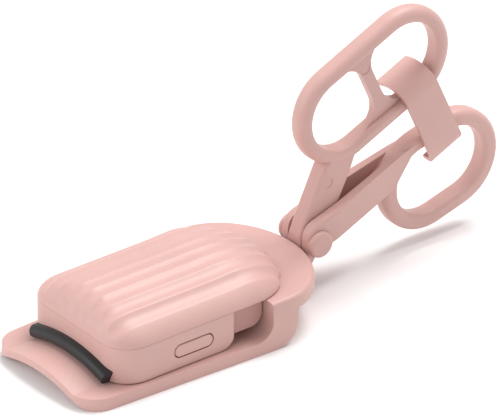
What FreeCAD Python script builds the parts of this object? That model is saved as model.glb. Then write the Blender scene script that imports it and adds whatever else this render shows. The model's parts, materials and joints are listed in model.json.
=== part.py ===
import FreeCAD, Part
import math
import os

# Heated scissor-type eyelash curler, closed and lying on its frame.
# Millimetres. X runs across (the power button is on +X), Y runs from the jaw back to the
# finger loops and Z runs up from the table. The pieces are drawn with Y = 0 at the front
# face of the heater housing. At the end the whole part moves, so that its origin is on the
# table, on the middle plane, in the middle of the frame's floor plate.

Vector = FreeCAD.Vector

# Clearances
body_gap = 0.3            # between pieces that move apart
pad_gap = 0.15            # silicone pad to jaw, closed
guide_gap = 0.15          # carriage tail in the frame's guide
running_gap = 0.06        # radial, pins that turn
seat_gap = 0.05           # pieces that sit in each other

# Heater housing and cover
housing_width = 36.0
housing_length = 32.2
housing_corner = 7.0
housing_heel = 4.0        # round of the lower rear edge
wall = 1.6
floor_wall = 1.2
frame_top = 3.2
housing_bottom = frame_top + body_gap
seam_height = 12.4        # where cover and housing meet
cover_height = 7.3        # rise of the dome above the seam
cover_side = 39.0         # where the straight side of the cover ends
cover_apex = 53.2
cover_power = 2.1
cover_wall = 1.2
spine_front = 8.0         # the dome is level between these
spine_rear = 30.0
dome_power = 1 / 0.6      # dome sections: reach^power + rise^dome_power = 1
dome_across = 2.0
dome_front = 2.6
dome_rear = 3.2
flute_count = 8
flute_pitch = 3.7
flute_radius = 3.0
flute_depth = 0.45
flute_start = 4.5
seam_round = 0.3

# Frame: jaw, side bars, rear block and cap
jaw_half = 18.7
jaw_front = -9.6
jaw_corner = 7.0
jaw_back = 2.2
arch_radius = 40.0
arch_top = 5.3
arch_thickness = 1.8
rear_half = 20.5
window_half = 14.2
window_end = 34.0
block_front = 41.2
block_rear = 48.4
block_round = 6.5
block_fillet = 4.5
cap_side = 46.0
cap_apex = 62.6
cap_power = 1.95
cap_thickness = 3.4
cap_roof = 1.3            # cap over the slot for the arms
cap_top = seam_height - body_gap
boss_half = 14.0          # hinge boss under the cap
boss_apex = 60.6
boss_power = 2.2
boss_bottom = 0.4
boss_round = 1.6
cap_round = 1.1
slot_half = 5.6
slot_floor = 2.0

# Pad and heater, all bent round the jaw's axis
pad_half = 12.9
pad_front = -2.2
pad_back = 1.4
pad_top = 8.5
pad_skin = 0.02           # hairline between the pieces stacked in the seat
heater_thickness = 0.7
heater_height = 2.2
insulator_thickness = 0.3
notch_back = 2.6
seat_wall = 1.0

# Cell and its bay
cell_radius = 5.25
cell_length = 44.5
cell_nub_radius = 2.4
cell_nub = 0.9
cell_front = 4.6
cell_height = 10.3
bay_wall = 1.5
contact_thickness = 0.35

# Inner compartment behind the housing
core_half = 16.8
core_rear = 40.6
core_bottom = 6.0
core_heel = 3.0
core_wall = 1.4

# Carriage tail, which runs in the frame's guide
tail_half = 6.9
tail_front = 41.6
tail_bottom = 1.2
lug_half = 2.3

# Scissor linkage
pivot_y = 66.2
pivot_z = 12.2
pivot_radius = 1.6
pivot_head_radius = 3.2
pivot_head = 1.3
pivot_rivet_radius = 0.9
drive_y = 49.4
drive_z = 3.1
drive_radius = 0.9
drive_travel = 1.9        # how far the drive pin moves in its slot
arm_inner = 2.6
arm_outer = 5.1
arm_boss = 1.6
washer_radius = 2.75

# Upper handle
blade_half = 2.3
upper_loop_front = (75.7, 41.3)
upper_loop_back = (93.7, 49.3)
upper_loop_radius = 12.7
upper_band = 3.7
upper_outer_round = 2.2
upper_inner_round = 1.2
upper_half = 2.55
web_half = 1.45
web_thickness = 2.0
web_fillet = 5.6

# Lower handle
lower_loop_front = (100.1, 15.8)
lower_loop_back = (107.9, 17.9)
lower_loop_radius = 12.77
lower_band = 4.05
lower_half = 2.475
lower_outer_round = 1.7
lower_inner_round = 1.25
arm_round = 1.0           # outer top edges of the arms
arm_nose_round = 4.0
ejector_radius = 1.4      # shallow round marks left by the mould
ejector_depth = 0.12

blade_mark = (70.8, 25.3)
web_mark = (82.4, 50.2)

# Storage clip
clip_length = 9.3
clip_start = 4.3          # along the upper handle's lower bar, from its middle
clip_thickness = 1.2
clip_side = 3.1           # inside face of the clip's back
clip_drop = 17.0          # inside face of its lower lip, below the bar

# Power button
button_y = 20.5
button_z = 7.75
button_length = 10.6
button_width = 3.0
button_gap = 0.3
button_proud = 0.15
button_travel = 0.4
lead_places = (7.6, 10.4) # heater leads, through the back of the pad's seat
lead_z = 6.0
board_face = 14.0
board_thickness = 0.8
board_front = 6.5
board_rear = 30.2
board_fixings = (9.5, 26.4)
board_fixing_z = 8.0
post_depth = 3.2
post_half = 1.3
thread_radius = 0.45

# Fasteners
screw_radius = 0.9
screw_head_radius = 1.7
screw_head = 1.0
foot_pin_radius = 0.8
foot_bore = 2.4           # how far the foot pin reaches past the slot's sides
recess_depth = 0.9        # for the foot screw's head
driver_half = 1.2         # cross recess in the screw heads
driver_width = 0.25
core_screw_places = (-11.0, 11.0)
core_screw_z = 9.2
core_screw_reach = 4.2
cell_rests = (9.0, 25.0)
rest_width = 1.6
lead_radius = 0.45

parts = {}


# ---- drawing helpers -------------------------------------------------------------------

def at_x(x):
    """Places an outline drawn as (y, z) on the plane X = x."""
    return lambda y, z: Vector(x, y, z)


def at_y(y):
    """Places an outline drawn as (x, z) on the plane Y = y."""
    return lambda x, z: Vector(x, y, z)


def at_z(z):
    """Places an outline drawn as (x, y) on the plane Z = z."""
    return lambda x, y: Vector(x, y, z)


def rounded_wire(corners, place):
    """Closed outline through corners (u, v) or (u, v, radius), rounded where asked."""
    points = [Vector(c[0], c[1], 0) for c in corners]
    radii = [c[2] if len(c) > 2 else 0.0 for c in corners]
    ends = []
    for i, corner in enumerate(points):
        back = (points[i - 1] - corner).normalize()
        ahead = (points[(i + 1) % len(points)] - corner).normalize()
        if radii[i] == 0.0:
            ends.append((corner, None, corner))
            continue
        half = back.getAngle(ahead) / 2
        run = radii[i] / math.tan(half)
        middle = (back + ahead).normalize()
        top = corner + middle * (radii[i] / math.sin(half) - radii[i])
        ends.append((corner + back * run, top, corner + ahead * run))
    edges = []
    for i, (first, top, last) in enumerate(ends):
        if top is not None:
            three = [place(p.x, p.y) for p in (first, top, last)]
            edges.append(Part.Arc(*three).toShape())
        following = ends[(i + 1) % len(ends)][0]
        if (following - last).Length > 1e-6:
            line = Part.LineSegment(place(last.x, last.y), place(following.x, following.y))
            edges.append(line.toShape())
    return Part.Wire(Part.__sortEdges__(edges))


def prism(corners, place, along):
    """Solid made by pushing a rounded outline along a vector."""
    return Part.Face(rounded_wire(corners, place)).extrude(along)


def slab(corners, half):
    """Solid with a (y, z) outline, from X = -half to X = half."""
    return prism(corners, at_x(-half), Vector(2 * half, 0, 0))


def box(x0, x1, y0, y1, z0, z1):
    return Part.makeBox(x1 - x0, y1 - y0, z1 - z0, Vector(x0, y0, z0))


def rod_x(y, z, radius, x0, x1):
    return Part.makeCylinder(radius, x1 - x0, Vector(x0, y, z), Vector(1, 0, 0))


def rod_y(x, z, radius, y0, y1):
    return Part.makeCylinder(radius, y1 - y0, Vector(x, y0, z), Vector(0, 1, 0))


def rod_z(x, y, radius, z0, z1):
    return Part.makeCylinder(radius, z1 - z0, Vector(x, y, z0), Vector(0, 0, 1))


def superellipse_edge(half, side, apex, power, z):
    """Rear outline: |x/half|^power + |(y-side)/(apex-side)|^power = 1."""
    points = []
    steps = 24
    for i in range(steps + 1):
        angle = math.pi * i / steps
        across = math.cos(angle)
        x = math.copysign(abs(across) ** (2 / power), across) * half
        y = side + (apex - side) * math.sin(angle) ** (2 / power) if 0 < i < steps else side
        points.append(Vector(x, y, z))
    curve = Part.BSplineCurve()
    curve.interpolate(points)
    return curve.toShape()


def round_backed(front_half, front, corner, half, side, apex, power, z0, z1, taper_end):
    """Plan with round front corners, straight sides and a superellipse at the back."""
    back = superellipse_edge(half, side, apex, power, z0)
    place = at_z(z0)
    inset = corner * (1 - math.sqrt(0.5))
    edges = [back]
    for sign in (1, -1):
        shoulder = place(sign * front_half, front + corner)
        knee = place(sign * half, taper_end)
        arc_top = place(sign * (front_half - inset), front + inset)
        arc_end = place(sign * (front_half - corner), front)
        if side > taper_end:
            edges.append(Part.LineSegment(place(sign * half, side), knee).toShape())
        edges.append(Part.LineSegment(knee, shoulder).toShape())
        edges.append(Part.Arc(shoulder, arc_top, arc_end).toShape())
    left = place(-(front_half - corner), front)
    edges.append(Part.LineSegment(left, place(front_half - corner, front)).toShape())
    wire = Part.Wire(Part.__sortEdges__(edges))
    return Part.Face(wire).extrude(Vector(0, 0, z1 - z0))


def bent_bar(corners, half):
    """A (y, z) section swept round the jaw's axis, half its width to each side."""
    centre = Vector(0, 0, arch_top - arch_radius)
    spread = math.degrees(math.asin(half / arch_radius))
    section = Part.Face(rounded_wire(corners, at_x(0)))
    section.rotate(centre, Vector(0, 1, 0), -spread)
    return section.revolve(centre, Vector(0, 1, 0), 2 * spread)


def stadium(front, back, radius, half):
    """Long round-ended block across X, between two centres given as (y, z)."""
    along = Vector(0, back[0] - front[0], back[1] - front[1]).normalize()
    up = Vector(0, -along.z, along.y)
    start = Vector(-half, front[0], front[1])
    end = Vector(-half, back[0], back[1])
    edges = [
        Part.LineSegment(start + up * radius, end + up * radius).toShape(),
        Part.Arc(end + up * radius, end + along * radius, end - up * radius).toShape(),
        Part.LineSegment(end - up * radius, start - up * radius).toShape(),
        Part.Arc(start - up * radius, start - along * radius, start + up * radius).toShape(),
    ]
    return Part.Face(Part.Wire(edges)).extrude(Vector(2 * half, 0, 0))


def finger_loop(front, back, radius, band, half, outer_round, inner_round):
    """Stadium ring with soft edges, rounder outside than inside."""
    ring = stadium(front, back, radius, half)
    ring = ring.cut(stadium(front, back, radius - band, half + 1))
    spine = Part.LineSegment(Vector(0, *front), Vector(0, *back)).toShape()
    for reach, size in ((radius, outer_round), (radius - band, inner_round)):
        edges = []
        for edge in ring.Edges:
            start = edge.Vertexes[0].Point
            away = spine.distToShape(Part.Vertex(0, start.y, start.z))[0]
            if abs(away - reach) < 1e-3 and abs(abs(edge.CenterOfMass.x) - half) < 1e-3:
                edges.append(edge)
        ring = ring.makeFillet(size, edges)
    return ring


def lead(points, radius=lead_radius):
    """Short insulated wire through the given points."""
    shape = None
    for start, end in zip(points, points[1:]):
        run = Vector(*end) - Vector(*start)
        piece = Part.makeCylinder(radius, run.Length, Vector(*start), run)
        if shape is not None:
            piece = piece.fuse(Part.makeSphere(radius, Vector(*start)))
        shape = piece if shape is None else shape.fuse(piece)
    return shape.removeSplitter()


# ---- frame -----------------------------------------------------------------------------

def frame_plan(z0, z1):
    return round_backed(jaw_half, jaw_front, jaw_corner, rear_half, cap_side, cap_apex,
                        cap_power, z0, z1, block_front)


def frame_side():
    """Floor, upright and cap seen from the side."""
    return slab([
        (jaw_back, 0.0),
        (block_rear, 0.0, block_round),
        (block_rear, cap_top - cap_thickness, 0.6),
        (cap_apex + 1, cap_top - cap_thickness),
        (cap_apex + 1, cap_top),
        (block_front, cap_top),
        (block_front, frame_top, block_fillet),
        (jaw_back, frame_top),
    ], rear_half + 1)


def jaw_arch():
    """Front of the frame, arched so that the jaw follows the lid."""
    rise = math.sqrt(arch_radius ** 2 - (arch_radius - arch_top + frame_top) ** 2)
    under = arch_top - arch_thickness
    foot = math.sqrt(arch_radius ** 2 - (arch_radius - under) ** 2)
    edge = rear_half + 1
    place = at_y(jaw_front - 1)
    spots = [(-edge, 0), (-foot, 0), (foot, 0), (edge, 0), (edge, frame_top),
             (rise, frame_top), (-rise, frame_top), (-edge, frame_top)]
    p = [place(*spot) for spot in spots]
    edges = [
        Part.LineSegment(p[0], p[1]).toShape(),
        Part.Arc(p[1], place(0, under), p[2]).toShape(),
        Part.LineSegment(p[2], p[3]).toShape(),
        Part.LineSegment(p[3], p[4]).toShape(),
        Part.LineSegment(p[4], p[5]).toShape(),
        Part.Arc(p[5], place(0, arch_top), p[6]).toShape(),
        Part.LineSegment(p[6], p[7]).toShape(),
        Part.LineSegment(p[7], p[0]).toShape(),
    ]
    face = Part.Face(Part.Wire(edges))
    return face.extrude(Vector(0, jaw_back - jaw_front + 1, 0))


def hinge_boss():
    """Round-backed boss under the cap, where the upper handle's foot is fixed."""
    back = superellipse_edge(boss_half, block_rear - 2, boss_apex, boss_power, boss_bottom)
    ends = [back.Vertexes[0].Point, back.Vertexes[-1].Point]
    wire = Part.Wire([back, Part.LineSegment(ends[1], ends[0]).toShape()])
    boss = Part.Face(wire).extrude(Vector(0, 0, cap_top - cap_thickness - boss_bottom + 0.2))
    low = [e for e in boss.Edges if e.BoundBox.ZMax < boss_bottom + 0.1 and e.Length > 30]
    return boss.makeFillet(boss_round, low)


def guide_cut():
    """Guide for the carriage's tail, slot for the arms, and room under the housing."""
    half = tail_half + guide_gap
    rear = guide_rear()
    high = cap_top + 1
    cuts = box(-half, half, block_front, rear, -1, high)
    cuts = cuts.fuse(box(-half, half, block_front - block_fillet - body_gap, rear,
                         frame_top, high))
    slot = box(-slot_half, slot_half, rear - 1, cap_apex + 1, slot_floor, cap_top - cap_roof)
    return cuts.fuse(slot)


def guide_rear():
    return cell_front + cell_length + contact_thickness + bay_wall + body_gap


def foot_screw_y():
    return guide_rear() + 4.6


def foot_pin_place():
    return cap_apex - 4.2, slot_floor + foot_pin_radius + 0.35


def frame():
    body = frame_side().fuse(jaw_arch())
    body = body.common(frame_plan(-1, cap_top + 1)).removeSplitter()
    top = [e for e in body.Edges if e.BoundBox.ZMin > cap_top - 0.01
           and e.BoundBox.YMax > block_front + 1]
    body = body.makeFillet(cap_round, top)
    body = body.fuse(hinge_boss())
    body = body.cut(box(-window_half, window_half, jaw_back, window_end, -1, frame_top + 1))
    body = body.cut(guide_cut())
    pin_y, pin_z = foot_pin_place()
    body = body.cut(rod_x(pin_y, pin_z, foot_pin_radius, -slot_half - foot_bore,
                         slot_half + foot_bore))
    screw_y = foot_screw_y()
    body = body.cut(rod_z(0, screw_y, screw_radius + 0.1, -1, slot_floor + 1))
    body = body.cut(rod_z(0, screw_y, screw_head_radius + 0.2, -1,
                          boss_bottom + recess_depth))
    return body.removeSplitter()


# ---- upper handle ----------------------------------------------------------------------

def upper_axes():
    """Middle of the loop, its long direction and the direction square to it."""
    front = Vector(0, *upper_loop_front)
    back = Vector(0, *upper_loop_back)
    along = (back - front).normalize()
    return (front + back) * 0.5, along, Vector(0, -along.z, along.y)


def loop_place(x):
    """Places a (distance along, distance up) outline in the upper loop's own directions."""
    middle, along, up = upper_axes()
    return lambda s, h: middle + along * s + up * h + Vector(x, 0, 0)


def web():
    """Thin divider between the two finger holes, with wide fillets."""
    inner = upper_loop_radius - upper_band
    half_length = (Vector(0, *upper_loop_back) - Vector(0, *upper_loop_front)).Length / 2
    far = half_length + inner
    plate = stadium(upper_loop_front, upper_loop_back, inner + 0.6, web_thickness / 2)
    for sign in (1, -1):
        hole = [
            (sign * web_half, -inner, web_fillet),
            (sign * far, -inner, inner - 0.01),
            (sign * far, inner, inner - 0.01),
            (sign * web_half, inner, web_fillet),
        ]
        plate = plate.cut(prism(hole, loop_place(-web_thickness), Vector(2 * web_thickness, 0, 0)))
    return plate


def blade():
    """Tapering arm from the loop, past the scissor pin, to the foot in the frame."""
    foot_front = guide_rear() + 2.0
    foot_top = cap_top - cap_roof - seat_gap
    back_of_cap = cap_apex + 0.25
    shape = slab([
        (72.0, 31.5),
        (69.9, 29.0, 3.0),
        (63.9, 16.4, 6.0),
        (back_of_cap, 13.5),
        (back_of_cap, foot_top),
        (foot_front, foot_top, 0.6),
        (foot_front, slot_floor, 0.6),
        (62.0, slot_floor, 2.0),
        (66.4, 5.6, 6.0),
        (70.6, 12.4, 20.0),
        (77.4, 25.6, 6.0),
        (79.5, 31.0),
    ], blade_half)
    return shape


def upper_handle():
    body = finger_loop(upper_loop_front, upper_loop_back, upper_loop_radius, upper_band,
                       upper_half, upper_outer_round, upper_inner_round)
    shaft = blade()
    front = [e for e in shaft.Edges if abs(abs(e.CenterOfMass.x) - blade_half) < 1e-3
             and e.CenterOfMass.z > 14.5 and e.CenterOfMass.z < 30]
    shaft = shaft.makeFillet(0.9, front)
    body = body.fuse(shaft).fuse(web())
    body = body.cut(rod_x(*blade_mark, ejector_radius, blade_half - ejector_depth, blade_half + 1))
    body = body.cut(rod_x(*web_mark, ejector_radius, web_thickness / 2 - ejector_depth,
                          blade_half))
    body = body.cut(rod_x(pivot_y, pivot_z, pivot_radius, -6, 6))
    pin_y, pin_z = foot_pin_place()
    body = body.cut(rod_x(pin_y, pin_z, foot_pin_radius, -6, 6))
    body = body.cut(rod_z(0, foot_screw_y(), screw_radius, 0, slot_floor + 4.5))
    return body.removeSplitter()


def foot_pin():
    pin_y, pin_z = foot_pin_place()
    return rod_x(pin_y, pin_z, foot_pin_radius, -slot_half - foot_bore + 0.1,
                 slot_half + foot_bore - 0.1)


def foot_screw():
    y = foot_screw_y()
    top = boss_bottom + recess_depth
    head = rod_z(0, y, screw_head_radius, top - screw_head + 0.15, top)
    shank = rod_z(0, y, screw_radius, top, slot_floor + 4.2)
    bottom = top - screw_head
    deep = bottom + 0.55
    slot = box(-driver_width, driver_width, y - driver_half, y + driver_half, bottom, deep)
    cross = box(-driver_half, driver_half, y - driver_width, y + driver_width, bottom, deep)
    return head.fuse(shank).cut(slot).cut(cross).removeSplitter()


# ---- scissor pin -----------------------------------------------------------------------

def pin_head(sign, root):
    """Low dome on the outside of an arm."""
    base = sign * (arm_outer + seat_gap)
    head = rod_x(pivot_y, pivot_z, pivot_head_radius, min(base, base + sign * pivot_head),
                 max(base, base + sign * pivot_head))
    rim = [e for e in head.Edges if abs(e.BoundBox.XMin - (base + sign * pivot_head)) < 1e-3
           and abs(e.BoundBox.XMax - (base + sign * pivot_head)) < 1e-3]
    head = head.makeFillet(0.75, rim)
    if root:
        head = head.fuse(rod_x(pivot_y, pivot_z, pivot_radius, -arm_outer + 1.2, base + 0.1))
        head = head.fuse(rod_x(pivot_y, pivot_z, pivot_rivet_radius, -arm_outer - 0.4, 0))
    else:
        head = head.cut(rod_x(pivot_y, pivot_z, pivot_rivet_radius, -arm_outer - 0.4, 0))
        collar = rod_x(pivot_y, pivot_z, pivot_radius, base - 0.01, -arm_outer + 1.2 - seat_gap)
        head = head.fuse(collar.cut(rod_x(pivot_y, pivot_z, pivot_rivet_radius, -arm_outer - 0.4, 0)))
    return head.removeSplitter()


def pivot_washers():
    rings = []
    for sign in (1, -1):
        inner = sign * (blade_half + 0.02)
        outer = sign * (arm_inner - 0.04)
        ring = rod_x(pivot_y, pivot_z, washer_radius, min(inner, outer), max(inner, outer))
        rings.append(ring.cut(rod_x(pivot_y, pivot_z, pivot_radius + seat_gap, -6, 6)))
    return Part.makeCompound(rings)


# ---- lower handle ----------------------------------------------------------------------

def arm_side():
    """Arm and front fork from the side, from the loop down to the drive pin."""
    front_of_pin = pivot_y - 3.1
    return [
        (front_of_pin, 16.3, arm_nose_round),
        (92.0, 25.4, 8.0),
        (97.5, 26.8),
        (89.5, 17.4),
        (83.2, 15.3),
        (69.4, 10.9, 3.0),
        (65.3, 9.4, 1.6),
        (63.2, 6.4, 3.0),
        (57.0, 4.0),
        (51.5, 2.1, 3.0),
        (drive_y, drive_z - arm_boss, 1.0),
        (drive_y - 0.6, drive_z),
        (drive_y, drive_z + arm_boss, 0.6),
        (51.5, 5.0, 3.0),
        (62.0, 8.6, 2.0),
        (front_of_pin, 9.3, 0.4),
    ]


def arm_plan():
    """The arm is widest at the pin and narrows to the loop's width."""
    back = lower_loop_front[0] - 5
    right = [(arm_outer + 1, drive_y - 5), (arm_outer + 1, 66.0), (arm_outer, 72.0),
             (lower_half, back), (lower_half, 105)]
    left = [(-x, y) for x, y in reversed(right)]
    return prism(right + left, at_z(-5), Vector(0, 0, 60))


def channel_cut():
    """Hollow of the arm: open at the top, open right through in front of its floor."""
    plan = [(arm_inner, 30), (arm_inner, 74), (1.1, 92), (-1.1, 92), (-arm_inner, 74),
            (-arm_inner, 30)]
    side = [(30, -6), (73.4, -6), (73.4, 14.6, 1.0), (84.0, 18.0, 4.0), (91.0, 25.5),
            (91.0, 50), (30, 50)]
    return prism(plan, at_z(-10), Vector(0, 0, 70)).common(slab(side, 10))


def outer_top(edge):
    """True for the outer edges along the top and nose of the arms."""
    middle = edge.CenterOfMass
    top_line = pivot_z + 1 + 0.33 * (middle.y - pivot_y + 2.2)
    return abs(abs(middle.x) - arm_outer) < 1e-3 and middle.z > top_line


def lower_handle():
    arm = slab(arm_side(), arm_outer)
    arm = arm.makeFillet(arm_round, [e for e in arm.Edges if outer_top(e)])
    arm = arm.common(arm_plan())
    arm = arm.fuse(rod_x(pivot_y, pivot_z, pivot_head_radius - 0.1, -arm_outer, arm_outer))
    arm = arm.fuse(rod_x(drive_y, drive_z, arm_boss, -arm_outer, arm_outer))
    arm = arm.cut(channel_cut())
    loop = finger_loop(lower_loop_front, lower_loop_back, lower_loop_radius, lower_band,
                       lower_half, lower_outer_round, lower_inner_round)
    hole = stadium(lower_loop_front, lower_loop_back, lower_loop_radius - lower_band, 10)
    body = loop.fuse(arm.cut(hole))
    body = body.cut(rod_x(pivot_y, pivot_z, pivot_radius + running_gap, -8, 8))
    body = body.cut(rod_x(drive_y, drive_z, drive_radius, -8, 8))
    return body.removeSplitter()


def drive_pin():
    return rod_x(drive_y, drive_z, drive_radius, -arm_outer + 0.1, arm_outer - 0.1)


# ---- storage clip ----------------------------------------------------------------------

def storage_clip():
    """C-shaped clip over the upper handle's lower bar and under the lower handle's bar."""
    middle, along, up = upper_axes()
    bar = middle - up * (upper_loop_radius - upper_band / 2) + along * clip_start
    outside = clip_side + clip_thickness
    low = -clip_drop
    corners = [
        (-6.6, 4.05, 0.5),
        (-1.0, 5.9, 7.5),
        (outside, 3.9, 3.9),
        (outside, low - clip_thickness, 2.8),
        (0.0, low - clip_thickness, 0.5),
        (0.0, low, 0.5),
        (clip_side, low, 1.6),
        (clip_side, 3.0, 2.9),
        (-1.0, 4.7, 6.2),
        (-6.2, 2.9, 0.5),
    ]
    return prism(corners, lambda x, h: bar + Vector(x, 0, 0) + up * h, along * clip_length)


# ---- housing ---------------------------------------------------------------------------

def pill(x0, x1, length, width):
    """Long round-ended block through the +X wall, at the button."""
    half = (length - width) / 2
    ends = rod_x(button_y - half, button_z, width / 2, x0, x1)
    ends = ends.fuse(rod_x(button_y + half, button_z, width / 2, x0, x1))
    middle = box(x0, x1, button_y - half, button_y + half, button_z - width / 2,
                 button_z + width / 2)
    return ends.fuse(middle).removeSplitter()


def housing_plan(inset, z0, z1):
    half = housing_width / 2 - inset
    return prism([
        (-half, inset, housing_corner - inset),
        (half, inset, housing_corner - inset),
        (half, housing_length - inset, 0.8),
        (-half, housing_length - inset, 0.8),
    ], at_z(z0), Vector(0, 0, z1 - z0))


def notch(extra):
    """Arched space at the lower front edge, for the pad and the jaw."""
    return bent_bar([
        (pad_front - 8, housing_bottom - 2.5),
        (notch_back + extra, housing_bottom - 2.5),
        (notch_back + extra, pad_top + extra),
        (pad_front - 8, pad_top + extra),
    ], pad_half + 0.1 + extra)


def housing():
    half = housing_width / 2
    outer = housing_plan(0.0, housing_bottom, seam_height)
    heel = slab([
        (-1, housing_bottom),
        (housing_length, housing_bottom, housing_heel),
        (housing_length, seam_height),
        (-1, seam_height),
    ], half + 1)
    outer = outer.common(heel)
    rim = [e for e in outer.Edges if e.BoundBox.ZMin > seam_height - 0.01]
    outer = outer.makeFillet(seam_round, rim)
    inner = housing_plan(wall, housing_bottom + floor_wall, seam_height + 1)
    seat = notch(seat_wall)
    body = outer.cut(inner.cut(seat)).cut(notch(0.0))
    bay = tail_half + seat_gap
    body = body.cut(box(-bay, bay, housing_length - wall - 1, housing_length + 1,
                        housing_bottom + floor_wall, seam_height + 1))
    body = body.cut(pill(half - wall - 1, half + 1, button_length + 2 * button_gap,
                         button_width + 2 * button_gap))
    for y in cell_rests:
        rest = box(-cell_radius, cell_radius, y, y + rest_width, housing_bottom + floor_wall,
                   cell_height - cell_radius / 2)
        body = body.fuse(rest.cut(rod_y(0, cell_height, cell_radius + 0.02, y - 1, y + 3)))
    for y in board_fixings:
        back = board_face - board_thickness
        post = box(back - post_depth, back, y - post_half, y + post_half,
                   housing_bottom + floor_wall, board_fixing_z + 1.6)
        post = post.cut(rod_x(y, board_fixing_z, thread_radius, back - post_depth - 1, back + 1))
        body = body.fuse(post)
    for x in core_screw_places:
        body = body.cut(rod_y(x, core_screw_z, screw_radius + 0.1, housing_length - wall - 1,
                              housing_length + 1))
    for x in lead_places:
        body = body.cut(rod_y(x, lead_z, 0.6, notch_back - 0.5, notch_back + seat_wall + 1))
    return body.removeSplitter()


def core():
    """Inner compartment, cell bay and the tail that runs in the frame's guide."""
    front = housing_length + 0.02
    block = slab([
        (front, core_bottom),
        (core_rear, core_bottom, core_heel),
        (core_rear, seam_height),
        (front, seam_height),
    ], core_half)
    hollow = box(-core_half + core_wall, core_half - core_wall, front - 1,
                 core_rear - core_wall, core_bottom + core_wall, seam_height + 1)
    body = block.cut(hollow)
    rear = guide_rear() - body_gap
    bay = box(-tail_half, tail_half, front, rear, housing_bottom, seam_height)
    spigot = box(-tail_half, tail_half, front - wall, front + 1,
                 housing_bottom + floor_wall + seat_gap, seam_height)
    tail = box(-tail_half, tail_half, tail_front, rear, tail_bottom, housing_bottom + 0.01)
    body = body.fuse(bay).fuse(spigot).fuse(tail)
    for x in core_screw_places:
        boss = rod_y(x, core_screw_z, screw_radius + 1, front, front + core_screw_reach + 0.8)
        body = body.fuse(boss).cut(rod_y(x, core_screw_z, screw_radius, front - 1,
                                         front + core_screw_reach + 0.3))
    room = rod_y(0, cell_height, cell_radius + 0.1, front - 5, rear - bay_wall)
    upper = box(-cell_radius - 0.1, cell_radius + 0.1, front - 5, rear - bay_wall,
                cell_height, seam_height + 1)
    body = body.cut(room).cut(upper)
    body = body.cut(arm_pockets(rear))
    slot = slab([
        (drive_y - drive_travel - drive_radius - 0.2, drive_z - drive_radius - 0.15, 0.9),
        (drive_y + drive_radius + 0.1, drive_z - drive_radius - 0.15, 0.9),
        (drive_y + drive_radius + 0.1, drive_z + drive_radius + 0.15, 0.9),
        (drive_y - drive_travel - drive_radius - 0.2, drive_z + drive_radius + 0.15, 0.9),
    ], lug_half + 0.2)
    return body.cut(slot).removeSplitter()


def arm_pockets(rear):
    """Room for the two fork arms on each side of the drive lug."""
    pockets = None
    start = drive_y - drive_travel - arm_boss - 0.5
    for sign in (1, -1):
        near = sign * lug_half
        far = sign * (arm_outer + body_gap)
        x0 = min(near, far)
        x1 = max(near, far)
        low = box(x0, x1, start, rear + 1, tail_bottom - 1, drive_z + arm_boss + 0.12)
        high = box(x0, x1, rear - bay_wall - 0.1, rear + 1, tail_bottom, 5.8)
        both = low.fuse(high)
        pockets = both if pockets is None else pockets.fuse(both)
    return pockets


# ---- cover -----------------------------------------------------------------------------

def dome_arc(place, spine, end, rise, power):
    """Section of the dome from its base at the end up to the level spine."""
    points = []
    steps = 16
    for i in range(steps + 1):
        angle = math.pi / 2 * i / steps
        reach = math.cos(angle) ** (2 / power) if i < steps else 0.0
        height = math.sin(angle) ** (2 / dome_power)
        points.append(place(spine + (end - spine) * reach, seam_height + rise * height))
    curve = Part.BSplineCurve()
    curve.interpolate(points)
    return curve.toShape(), points


def dome_prism(place, low, low_spine, high_spine, high, rise, powers, along):
    """Solid with a dome section: a flat base, level between the spine's two ends."""
    left, left_points = dome_arc(place, low_spine, low, rise, powers[0])
    right, right_points = dome_arc(place, high_spine, high, rise, powers[1])
    edges = [left, right, Part.LineSegment(left_points[0], right_points[0]).toShape()]
    if high_spine > low_spine:
        edges.append(Part.LineSegment(left_points[-1], right_points[-1]).toShape())
    return Part.Face(Part.Wire(Part.__sortEdges__(edges))).extrude(along)


def dome(inset, plan_inset):
    """Outside of the cover, or its hollow when drawn inset."""
    half = housing_width / 2
    rise = cover_height - inset
    plan = round_backed(half - plan_inset, plan_inset, housing_corner - plan_inset,
                        half - plan_inset, cover_side, cover_apex - plan_inset, cover_power,
                        seam_height, seam_height + cover_height, cover_side - 5)
    across = dome_prism(at_y(-1), inset - half, 0.0, 0.0, half - inset, rise,
                        (dome_across, dome_across), Vector(0, cover_apex + 2, 0))
    lengthways = dome_prism(at_x(-half), inset, spine_front, spine_rear, cover_apex - inset,
                            rise, (dome_front, dome_rear), Vector(housing_width, 0, 0))
    return plan.common(across).common(lengthways)


def flutes():
    """Long cutters that follow the dome's section, one for each flute."""
    cutters = []
    half = housing_width / 2
    for i in range(flute_count):
        x = (i - (flute_count - 1) / 2) * flute_pitch
        left = 1 - abs(x / half) ** dome_across
        height = seam_height + cover_height * left ** (1 / dome_power)
        slope = -2 * x / half ** 2 * cover_height / dome_power * left ** (1 / dome_power - 1)
        normal = Vector(-slope, 0, 1).normalize()
        axis = Vector(x, 0, height) + normal * (flute_radius - flute_depth)
        cutter = rod_y(axis.x, axis.z, flute_radius, flute_start, cover_apex + 2)
        tip = Part.makeSphere(flute_radius, Vector(axis.x, flute_start, axis.z))
        cutters.append(cutter.fuse(tip))
    return cutters


def cover():
    """Fluted domed cover over the housing and the cell, its rear edge over the cap."""
    shell = dome(0.0, 0.0)
    hollow = dome(cover_wall, wall)
    return shell.cut(hollow).cut(flutes()).removeSplitter()


# ---- pad and heater --------------------------------------------------------------------

def pad():
    low = arch_top + pad_gap
    return bent_bar([
        (pad_front, low, 1.35),
        (pad_back, low, 0.3),
        (pad_back, pad_top - pad_skin),
        (pad_front, pad_top - pad_skin, 1.6),
    ], pad_half)


def heater_plate():
    y = pad_back + 0.03
    low = pad_top - heater_height
    return bent_bar([
        (y, low),
        (y + heater_thickness, low),
        (y + heater_thickness, pad_top - pad_skin),
        (y, pad_top - pad_skin),
    ], pad_half - 0.4)


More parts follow.
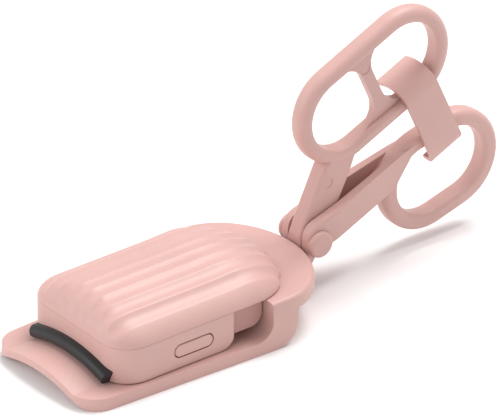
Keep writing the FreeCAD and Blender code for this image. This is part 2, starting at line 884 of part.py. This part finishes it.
def insulator():
    y = pad_back + 0.03 + heater_thickness + 0.03
    low = pad_top - heater_height
    return bent_bar([
        (y, low),
        (y + insulator_thickness, low),
        (y + insulator_thickness, pad_top - pad_skin),
        (y, pad_top - pad_skin),
    ], pad_half - 0.4)


# ---- cell and electrics ----------------------------------------------------------------

def cell():
    body = rod_y(0, cell_height, cell_radius, cell_front, cell_front + cell_length - cell_nub)
    rims = [e for e in body.Edges if e.Length > 30]
    body = body.makeFillet(0.4, rims)
    nub = rod_y(0, cell_height, cell_nub_radius, cell_front + cell_length - cell_nub - 0.5,
                cell_front + cell_length)
    return body.fuse(nub).removeSplitter()


def spring_contact():
    """Bent leaf that presses on the flat end of the cell."""
    back = notch_back + seat_wall + 0.05
    plate = box(-3.5, 3.5, back, back + contact_thickness, cell_height - 0.2, cell_height + 4.4)
    leaf = slab([
        (back, cell_height - 0.6),
        (cell_front - 0.05, cell_height + 1.2),
        (cell_front - 0.05, cell_height + 1.9),
        (back + contact_thickness, cell_height + 0.4),
    ], 2.0)
    return plate.fuse(leaf).removeSplitter()


def plate_contact():
    y = cell_front + cell_length + 0.02
    return box(-3.5, 3.5, y, y + contact_thickness - 0.04, cell_height - 3.5, cell_height + 2.0)


def circuit_board():
    board = box(board_face - board_thickness, board_face, board_front, board_rear,
                housing_bottom + floor_wall + 0.1, seam_height - 0.1)
    for y in board_fixings:
        board = board.cut(rod_x(y, board_fixing_z, thread_radius + 0.15, board_face - 2,
                                board_face + 1))
    return board


def board_parts():
    """Controller, two capacitors and a coil on the inner face of the board."""
    face = board_face - board_thickness - 0.01
    pieces = [
        box(face - 1.1, face, 13.5, 17.5, 6.2, 10.2),
        box(face - 1.5, face, 20.0, 24.0, 6.5, 10.5),
        box(face - 0.8, face, 18.2, 19.4, 6.2, 8.2),
        box(face - 0.8, face, 18.2, 19.4, 9.0, 11.0),
    ]
    return Part.makeCompound(pieces)


def switch():
    """Tact switch on the outer face of the board."""
    face = board_face + 0.01
    base = box(face, face + 0.7, button_y - 2.2, button_y + 2.2, button_z - 1.6, button_z + 1.6)
    stem = rod_x(button_y, button_z, 0.9, face + 0.6, face + 0.95)
    return base.fuse(stem).removeSplitter()


def button():
    inside = housing_width / 2 - wall
    cap = pill(inside - 0.05, housing_width / 2 + button_proud, button_length, button_width)
    face = [e for e in cap.Edges if e.BoundBox.XMin > housing_width / 2 + button_proud - 0.01]
    cap = cap.makeFillet(0.35, face)
    flange = pill(inside - 0.65, inside - 0.05, button_length + 1.6, button_width + 1.6)
    return cap.fuse(flange).removeSplitter()


def button_spring():
    """Small silicone dome between the switch and the button."""
    face = board_face + 0.98
    end = housing_width / 2 - wall - 0.65 - button_travel - 0.06
    ring = Part.makeCone(1.5, 1.0, end - face, Vector(face, button_y, button_z), Vector(1, 0, 0))
    return ring


def board_screws():
    screws = []
    for y in board_fixings:
        head = rod_x(y, board_fixing_z, 1.1, board_face, board_face + 0.6)
        shank = rod_x(y, board_fixing_z, thread_radius, board_face - post_depth, board_face)
        screws.append(head.fuse(shank).removeSplitter())
    return Part.makeCompound(screws)


def core_screws():
    screws = []
    inside = housing_length - wall
    for x in core_screw_places:
        head = rod_y(x, core_screw_z, screw_head_radius, inside - screw_head, inside)
        shank = rod_y(x, core_screw_z, screw_radius, inside, housing_length + core_screw_reach)
        slot = box(x - driver_half, x + driver_half, inside - screw_head - 1, inside - 0.6,
                   core_screw_z - driver_width, core_screw_z + driver_width)
        screws.append(head.fuse(shank).cut(slot).removeSplitter())
    return Part.makeCompound(screws)


def power_leads():
    """One lead from each cell contact to the board."""
    face = board_face - board_thickness - 0.5
    front = lead([(3.53, 3.85, 13.5), (6.4, 3.85, 13.5), (face, 8.0, 11.4)])
    rear = lead([(3.2, 49.35, 12.8), (6.0, 49.1, 13.6), (6.6, 46.0, 13.4),
                 (9.0, 31.5, 13.4), (10.6, 28.0, 12.6), (face, 24.0, 11.4)])
    return Part.makeCompound([front, rear])


def heater_leads():
    """Two leads from the heater plate through the housing to the board."""
    face = board_face - board_thickness - 0.5
    start = notch_back + 0.02
    first, second = lead_places
    short = lead([(second, start, lead_z), (second, start + 3, lead_z), (face, 7.3, lead_z)])
    long = lead([(first, start, lead_z), (first, start + 3, lead_z), (first + 1, 12, lead_z),
                 (face, 12.6, lead_z)])
    return Part.makeCompound([short, long])


# ---- build -----------------------------------------------------------------------------

def build():
    parts["frame"] = frame()
    parts["upper_handle"] = upper_handle()
    parts["foot_pin"] = foot_pin()
    parts["foot_screw"] = foot_screw()
    parts["pivot_pin"] = pin_head(1, True)
    parts["pivot_cap"] = pin_head(-1, False)
    parts["pivot_washers"] = pivot_washers()
    parts["lower_handle"] = lower_handle()
    parts["drive_pin"] = drive_pin()
    parts["storage_clip"] = storage_clip()
    parts["housing"] = housing()
    parts["inner_compartment"] = core()
    parts["ribbed_cover"] = cover()
    parts["curling_pad"] = pad()
    parts["heater_plate"] = heater_plate()
    parts["heat_insulator"] = insulator()
    parts["battery_cell"] = cell()
    parts["spring_contact"] = spring_contact()
    parts["plate_contact"] = plate_contact()
    parts["circuit_board"] = circuit_board()
    parts["board_parts"] = board_parts()
    parts["tact_switch"] = switch()
    parts["power_button"] = button()
    parts["button_spring"] = button_spring()
    parts["board_screws"] = board_screws()
    parts["core_screws"] = core_screws()
    parts["power_leads"] = power_leads()
    parts["heater_leads"] = heater_leads()


build()
os.makedirs("parts", exist_ok=True)
origin_y = (window_end + block_front) / 2
for name, shape in parts.items():
    shape.translate(Vector(0, -origin_y, 0))
    shape.exportStep(os.path.join("parts", name + ".step"))
    print(name, len(shape.Solids), shape.isValid(), round(shape.Volume, 1))
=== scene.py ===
import json
import math

import bmesh
import bpy
import numpy as np
from mathutils import Matrix, Vector


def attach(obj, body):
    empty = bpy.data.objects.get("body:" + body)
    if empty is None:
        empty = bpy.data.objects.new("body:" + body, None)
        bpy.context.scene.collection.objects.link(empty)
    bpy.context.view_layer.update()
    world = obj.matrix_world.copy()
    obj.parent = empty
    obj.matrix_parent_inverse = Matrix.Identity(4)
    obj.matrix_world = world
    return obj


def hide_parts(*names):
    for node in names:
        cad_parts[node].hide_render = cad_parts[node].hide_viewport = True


# Heated eyelash curler on a pale table. Metres. X runs across (the power button is on +X),
# Y runs from the jaw back to the finger loops and Z runs up from the table.

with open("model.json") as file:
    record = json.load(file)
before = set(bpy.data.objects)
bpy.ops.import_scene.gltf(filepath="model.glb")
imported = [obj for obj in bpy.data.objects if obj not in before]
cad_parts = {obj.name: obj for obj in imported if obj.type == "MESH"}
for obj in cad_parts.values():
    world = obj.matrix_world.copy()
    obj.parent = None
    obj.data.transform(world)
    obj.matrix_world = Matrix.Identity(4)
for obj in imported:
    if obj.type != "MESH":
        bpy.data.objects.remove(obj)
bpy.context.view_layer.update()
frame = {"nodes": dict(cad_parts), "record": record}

# ---- node helpers ----------------------------------------------------------------------

class Finish:
    """A material under construction: a principled shader with nodes reading Object coordinates."""

    def __init__(self, name, roughness, metallic=0.0):
        self.material = bpy.data.materials.new(name)
        self.material.use_nodes = True
        self.tree = self.material.node_tree
        self.shader = self.tree.nodes["Principled BSDF"]
        self.shader.inputs["Metallic"].default_value = metallic
        self.shader.inputs["Roughness"].default_value = roughness
        self.place = self.tree.nodes.new("ShaderNodeTexCoord").outputs["Object"]

    def set(self, **sockets):
        """Constant values, each set on the shader's own socket."""
        for name, value in sockets.items():
            self.shader.inputs[name.replace("_", " ")].default_value = value
        return self

    def noise(self, size, detail=3.0, roughness=0.5, stretch=(1, 1, 1)):
        """Noise whose features are about size metres across, longer along the stretched axes."""
        mapping = self.tree.nodes.new("ShaderNodeMapping")
        mapping.inputs["Scale"].default_value = [1 / s for s in stretch]
        self.tree.links.new(self.place, mapping.inputs["Vector"])
        node = self.tree.nodes.new("ShaderNodeTexNoise")
        node.inputs["Scale"].default_value = 1 / size
        node.inputs["Detail"].default_value = detail
        node.inputs["Roughness"].default_value = roughness
        self.tree.links.new(mapping.outputs["Vector"], node.inputs["Vector"])
        return node.outputs["Fac"]

    def ramp(self, factor, *stops):
        """Colours at places from 0 to 1."""
        node = self.tree.nodes.new("ShaderNodeValToRGB")
        band = node.color_ramp
        while len(band.elements) < len(stops):
            band.elements.new(0.5)
        for element, (place, colour) in zip(band.elements, stops):
            element.position = place
            element.color = (*colour, 1.0)
        self.tree.links.new(factor, node.inputs["Fac"])
        return node.outputs["Color"]

    def spread(self, factor, low, high, new_low, new_high):
        """Maps one range of values to another."""
        node = self.tree.nodes.new("ShaderNodeMapRange")
        for socket, value in zip(("From Min", "From Max", "To Min", "To Max"),
                                 (low, high, new_low, new_high)):
            node.inputs[socket].default_value = value
        self.tree.links.new(factor, node.inputs["Value"])
        return node.outputs["Result"]

    def colour(self, output):
        self.tree.links.new(output, self.shader.inputs["Base Color"])
        return self

    def gloss(self, output):
        self.tree.links.new(output, self.shader.inputs["Roughness"])
        return self

    def bump(self, *layers):
        """Each layer is (height output, depth in metres, strength)."""
        normal = None
        for height, depth, strength in layers:
            node = self.tree.nodes.new("ShaderNodeBump")
            node.inputs["Distance"].default_value = depth
            node.inputs["Strength"].default_value = strength
            self.tree.links.new(height, node.inputs["Height"])
            if normal is not None:
                self.tree.links.new(normal, node.inputs["Normal"])
            normal = node.outputs["Normal"]
        self.tree.links.new(normal, self.shader.inputs["Normal"])
        return self


def tint(colour, factor):
    return tuple(min(1.0, c * factor) for c in colour)


# ---- finishes --------------------------------------------------------------------------

def moulded(name, colour, roughness=0.46, grain=0.00022):
    """Satin moulded plastic: slow cloudiness in the colour, fine spark-eroded grain."""
    finish = Finish(name, roughness)
    cloud = finish.noise(0.016, 2.0)
    finish.colour(finish.ramp(cloud, (0.3, tint(colour, 0.965)), (0.7, tint(colour, 1.025))))
    fine = finish.noise(grain, 2.0)
    finish.gloss(finish.spread(fine, 0.3, 0.7, roughness - 0.05, roughness + 0.05))
    finish.bump((finish.noise(0.006, 1.0), 0.00006, 0.35), (fine, 0.000012, 0.5))
    return finish.set(Specular_IOR_Level=0.42, Subsurface_Weight=0.06,
                      Subsurface_Radius=(0.0012, 0.0006, 0.0005)).material


def silicone(name, colour):
    """Soft black rubber with a dusty sheen."""
    finish = Finish(name, 0.5)
    dust = finish.noise(0.0016, 4.0, 0.6)
    finish.colour(finish.ramp(dust, (0.35, colour), (0.8, tint(colour, 1.9))))
    finish.gloss(finish.spread(dust, 0.3, 0.7, 0.42, 0.56))
    finish.bump((finish.noise(0.0003, 2.0), 0.00002, 0.5))
    return finish.set(Specular_IOR_Level=0.5, Sheen_Weight=0.12,
                      Sheen_Roughness=0.5).material


def metal(name, colour, roughness, stretch):
    """Drawn or turned metal, its fine marks long along the stretched axis."""
    finish = Finish(name, roughness, 1.0)
    marks = finish.noise(0.00012, 3.0, 0.6, stretch)
    finish.colour(finish.ramp(marks, (0.3, tint(colour, 0.86)), (0.7, colour)))
    finish.gloss(finish.spread(marks, 0.3, 0.7, roughness - 0.06, roughness + 0.1))
    finish.bump((marks, 0.00001, 0.4))
    return finish.material


def woven(name, colour):
    """Fine glass cloth: two crossed waves."""
    finish = Finish(name, 0.8)
    tree = finish.tree
    heights = []
    for direction in ("X", "Z"):
        wave = tree.nodes.new("ShaderNodeTexWave")
        wave.bands_direction = direction
        wave.inputs["Scale"].default_value = 420.0
        wave.inputs["Distortion"].default_value = 0.6
        tree.links.new(finish.place, wave.inputs["Vector"])
        heights.append(wave.outputs["Fac"])
    both = tree.nodes.new("ShaderNodeMath")
    both.operation = "MULTIPLY"
    tree.links.new(heights[0], both.inputs[0])
    tree.links.new(heights[1], both.inputs[1])
    height = both.outputs["Value"]
    finish.colour(finish.ramp(height, (0.0, tint(colour, 0.7)), (1.0, colour)))
    finish.bump((height, 0.00005, 0.6))
    return finish.material


def lacquered(name, colour, spots, roughness):
    """Coated board or printed sleeve with faint darker mottling under the gloss."""
    finish = Finish(name, roughness)
    mottle = finish.noise(spots, 5.0, 0.65)
    finish.colour(finish.ramp(mottle, (0.35, tint(colour, 0.7)), (0.65, colour)))
    finish.gloss(finish.spread(mottle, 0.3, 0.7, roughness - 0.06, roughness + 0.12))
    finish.bump((mottle, 0.00002, 0.4))
    return finish.material


pink = (0.61, 0.372, 0.338)
# Darker copy of the shell pink: painted shade for the inner moulding, which sits in shadow inside
# the housing.
pink_painted_shade = (0.47, 0.258, 0.23)

finishes = {
    "pink_shell": moulded("pink_satin", pink),
    "pink_cover": moulded("pink_satin_cover", tint(pink, 1.02), 0.42),
    # The inner moulding's darker pink is painted shade, not a different plastic.
    "pink_inner": moulded("pink_inner_painted_shade", pink_painted_shade, 0.55, 0.0004),
    "silicone": silicone("black_silicone", (0.008, 0.008, 0.009)),
    "soft_dome": silicone("clear_dome_silicone", (0.62, 0.62, 0.60)),
    "steel": metal("turned_steel", (0.56, 0.56, 0.57), 0.3, (1, 1, 1)),
    "contact_metal": metal("plated_strip", (0.74, 0.66, 0.44), 0.28, (6, 1, 1)),
    "heater_metal": metal("rolled_foil", (0.72, 0.72, 0.74), 0.34, (12, 1, 1)),
    "insulation": woven("glass_cloth", (0.80, 0.77, 0.70)),
    "cell_jacket": lacquered("cell_sleeve", (0.10, 0.13, 0.17), 0.004, 0.25),
    "board_green": lacquered("solder_mask", (0.02, 0.17, 0.07), 0.002, 0.32),
    "components": lacquered("moulded_packages", (0.03, 0.03, 0.034), 0.0008, 0.5),
    "switch_black": lacquered("switch_body", (0.025, 0.025, 0.03), 0.0006, 0.45),
    "white_nylon": moulded("natural_nylon", (0.78, 0.76, 0.70), 0.4),
    "lead_red": moulded("red_lead_sleeve", (0.42, 0.02, 0.015), 0.38, 0.0005),
    "lead_white": woven("white_lead_sleeve", (0.76, 0.74, 0.69)),
}

slots = {row["node"]: row["material_slot"] for row in frame["record"]["subparts"]}
for node, piece in frame["nodes"].items():
    piece.data.materials.clear()
    piece.data.materials.append(finishes[slots[node]])


# ---- cover -----------------------------------------------------------------------------

# Millimetres, with Y = 0 at the front face of the housing. surface() moves them to the frame.
MM = 0.001
shift_y = 37.6            # the part's own origin, behind the housing's front face
seam = 12.4               # height of the cover's rim
cover_half = 18.0
cover_corner = 7.0
cover_side = 39.0         # where the straight side ends
cover_bow = 14.2          # how far the rounded back reaches past it
bow_power = 2.1
dome_rise = 7.3
dome_power = 0.6
spine = (8.0, 30.0)       # the dome is level between these
crown_wall = 1.2
rim_wall = 1.6
pitch = 3.7
flute_depth = 0.45
last_ridge = 4 * pitch
ridge_softness = 0.0025   # keeps the ridges from coming to a knife edge
fade_start = 1.3          # height over the seam where the flutes begin at the front
fade_run = 2.4
front_part = 20.0         # the flutes fade only in front of this


def surface(name, points, faces, finish):
    """Smooth mesh object from an array of points in millimetres."""
    mesh = bpy.data.meshes.new(name)
    placed = (np.asarray(points) - (0, shift_y, 0)) * MM
    mesh.from_pydata(placed.tolist(), [], faces)
    mesh.materials.append(finish)
    mesh.polygons.foreach_set("use_smooth", [True] * len(mesh.polygons))
    mesh.update()
    piece = bpy.data.objects.new(name, mesh)
    bpy.context.scene.collection.objects.link(piece)
    return piece


def bands(first, rings, around, flip=False):
    """Quads between successive closed rings of the same count, from vertex number first."""
    ring = np.arange(rings - 1)[:, None] * around
    here = np.arange(around)[None, :]
    after = (here + 1) % around
    quads = np.stack([ring + here, ring + after, ring + around + after, ring + around + here], 2)
    quads = quads.reshape(-1, 4) + first
    return (quads[:, ::-1] if flip else quads).tolist()


def cover_outline(inset):
    """Plan of the cover, drawn in by inset: straight front, round corners, straight sides and,
    past the side's end, |x/half|^power + |(y - side)/bow|^power = 1."""
    half = cover_half - inset
    corner = cover_corner - inset
    middle = half - corner
    front = np.linspace(0, 1, 26)[:-1]
    turn = np.linspace(-np.pi / 2, 0, 25)[:-1]
    side = np.linspace(cover_corner, cover_side, 75)[:-1]
    bow = np.linspace(0, np.pi / 2, 90)
    reach = cover_bow - inset
    x = np.concatenate([middle * front, middle + corner * np.cos(turn), half + 0 * side,
                        half * np.cos(bow[:-1]) ** (2 / bow_power), [0.0]])
    y = np.concatenate([inset + 0 * front, cover_corner + corner * np.sin(turn), side,
                        cover_side + reach * np.sin(bow[:-1]) ** (2 / bow_power),
                        [cover_side + reach]])
    right = np.stack([x, y], 1)
    left = right[-2:0:-1] * (-1, 1)
    return np.concatenate([right, left])


def dome_rings(reach, inset, thickness):
    """Rings from the cover's outline in to its spine. A point lies reach of the way from the
    spine to the outline, at height rise * (1 - reach^p)^0.6 over the seam, where p is 2 to
    the sides, 2.6 to the front and 3.2 to the back."""
    outline = cover_outline(inset)
    roots = np.stack([0 * outline[:, 0], np.clip(outline[:, 1], *spine)], 1)
    out = outline - roots
    facing = (out[:, 1] / np.linalg.norm(out, axis=1)) ** 2
    power = 2 + np.where(out[:, 1] > 0, 1.2, 0.6) * facing
    flat = roots[None] + reach[:, None, None] * out[None]
    height = (1 - reach[:, None] ** power[None]).clip(0) ** dome_power
    z = seam + (dome_rise - thickness) * height
    return np.concatenate([flat, z[..., None]], 2)


def fluted(points):
    """Moves the dome inwards along its normal by depth * sqrt(sin(pi x / pitch)^2 + softness),
    which leaves narrow ridges and round valleys. The flutes fade out towards the front edge
    and outside the last ridge, and nothing goes below the seam."""
    around = np.roll(points, -1, 1) - np.roll(points, 1, 1)
    inwards = np.gradient(points, axis=0)
    normal = np.cross(inwards, around)
    length = np.linalg.norm(normal, axis=2, keepdims=True)
    normal = np.where(length > 1e-6, normal / np.maximum(length, 1e-9), (0, 0, 1.0))
    normal = np.where(normal[..., 2:] < -0.001, -normal, normal)
    x, y, z = np.moveaxis(points, 2, 0)
    wave = np.sqrt(np.sin(np.pi * x / pitch) ** 2 + ridge_softness)
    low = np.clip((z - seam - fade_start) / fade_run, 0, 1)
    front = np.where(y < front_part, low * low * (3 - 2 * low), 1.0)
    inside = np.clip((last_ridge + 0.15 - abs(x)) / 0.3, 0, 1)
    moved = points - normal * (flute_depth * wave * front * inside)[..., None]
    moved[..., 2] = np.maximum(moved[..., 2], seam)
    return moved


def ribbed_cover():
    """Closed shell: fluted outside, plain inside, joined by a flat rim at the seam."""
    edge = last_ridge / cover_half
    ramp = np.linspace(0, 1, 31)[1:]
    reach = np.concatenate([np.linspace(0, edge, 49), 1 - (1 - edge) * (1 - ramp) ** 2])[::-1]
    outside = fluted(dome_rings(reach, 0.0, 0.0))
    inside = dome_rings(np.linspace(1, 0, 24) ** 0.7, rim_wall, crown_wall)
    around = outside.shape[1]
    points = np.concatenate([outside.reshape(-1, 3), inside.reshape(-1, 3)])
    start = len(reach) * around
    faces = bands(0, len(reach), around)
    faces += bands(start, inside.shape[0], around, True)
    here = np.arange(around)
    after = (here + 1) % around
    faces += np.stack([here, start + here, start + after, after], 1).tolist()
    piece = surface("fluted_cover", points, faces, finishes["pink_cover"])
    work = bmesh.new()
    work.from_mesh(piece.data)
    bmesh.ops.remove_doubles(work, verts=work.verts, dist=1e-6)
    bmesh.ops.recalc_face_normals(work, faces=work.faces)
    work.to_mesh(piece.data)
    work.free()
    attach(piece, "carriage")
    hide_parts("ribbed_cover")


ribbed_cover()


# ---- table, light and camera -----------------------------------------------------------

def table():
    """Plain pale floor, a wide round sheet at Z = 0."""
    spokes = 64
    angles = np.linspace(0, 2 * np.pi, spokes, endpoint=False)
    rim = np.stack([3 * np.cos(angles), 3 * np.sin(angles), 0 * angles], 1)
    mesh = bpy.data.meshes.new("table")
    mesh.from_pydata(rim.tolist(), [], [list(range(spokes))])
    top = bpy.data.objects.new("table", mesh)
    bpy.context.scene.collection.objects.link(top)
    finish = Finish("table_white", 0.7)
    haze = finish.noise(0.4, 2.0)
    finish.colour(finish.ramp(haze, (0.3, (0.93, 0.93, 0.93)), (0.7, (0.95, 0.95, 0.95))))
    top.data.materials.append(finish.material)


def lamp(name, place, target, size, power):
    """Square soft box pointing from place to target."""
    light = bpy.data.lights.new(name, "AREA")
    light.size = size
    light.energy = power
    piece = bpy.data.objects.new(name, light)
    piece.location = place
    aim = Vector(target) - Vector(place)
    piece.rotation_euler = aim.to_track_quat("-Z", "Y").to_euler()
    bpy.context.scene.collection.objects.link(piece)


def studio():
    world = bpy.data.worlds.new("studio")
    bpy.context.scene.world = world
    world.use_nodes = True
    world.node_tree.nodes["Background"].inputs["Color"].default_value = (1, 1, 1, 1)
    world.node_tree.nodes["Background"].inputs["Strength"].default_value = 0.62
    middle = (0, 0.012, 0.02)
    lamp("key", (-0.10, 0.45, 0.95), middle, 0.55, 9.5)
    lamp("front", (-0.25, -0.75, 0.45), middle, 0.6, 3.0)
    bpy.context.scene.view_settings.view_transform = "Standard"


def camera():
    """Long lens, from the front right and above."""
    turn = math.radians(52.3)
    tilt = math.radians(29.7)
    distance = 2.489
    right = Vector((math.cos(turn), math.sin(turn), 0))
    back = Vector((math.sin(turn) * math.cos(tilt), -math.cos(turn) * math.cos(tilt),
                   math.sin(tilt)))
    up = back.cross(right)
    target = Vector((0, 0.0124, 0.025)) + right * 0.0002
    data = bpy.data.cameras.new("camera")
    data.lens = 792.7
    data.sensor_width = 36.0
    data.clip_start = 0.05
    piece = bpy.data.objects.new("camera", data)
    turned = Matrix((right, up, back)).transposed().to_4x4()
    piece.matrix_world = Matrix.Translation(target + back * distance) @ turned
    bpy.context.scene.collection.objects.link(piece)
    bpy.context.scene.camera = piece


table()
studio()
camera()
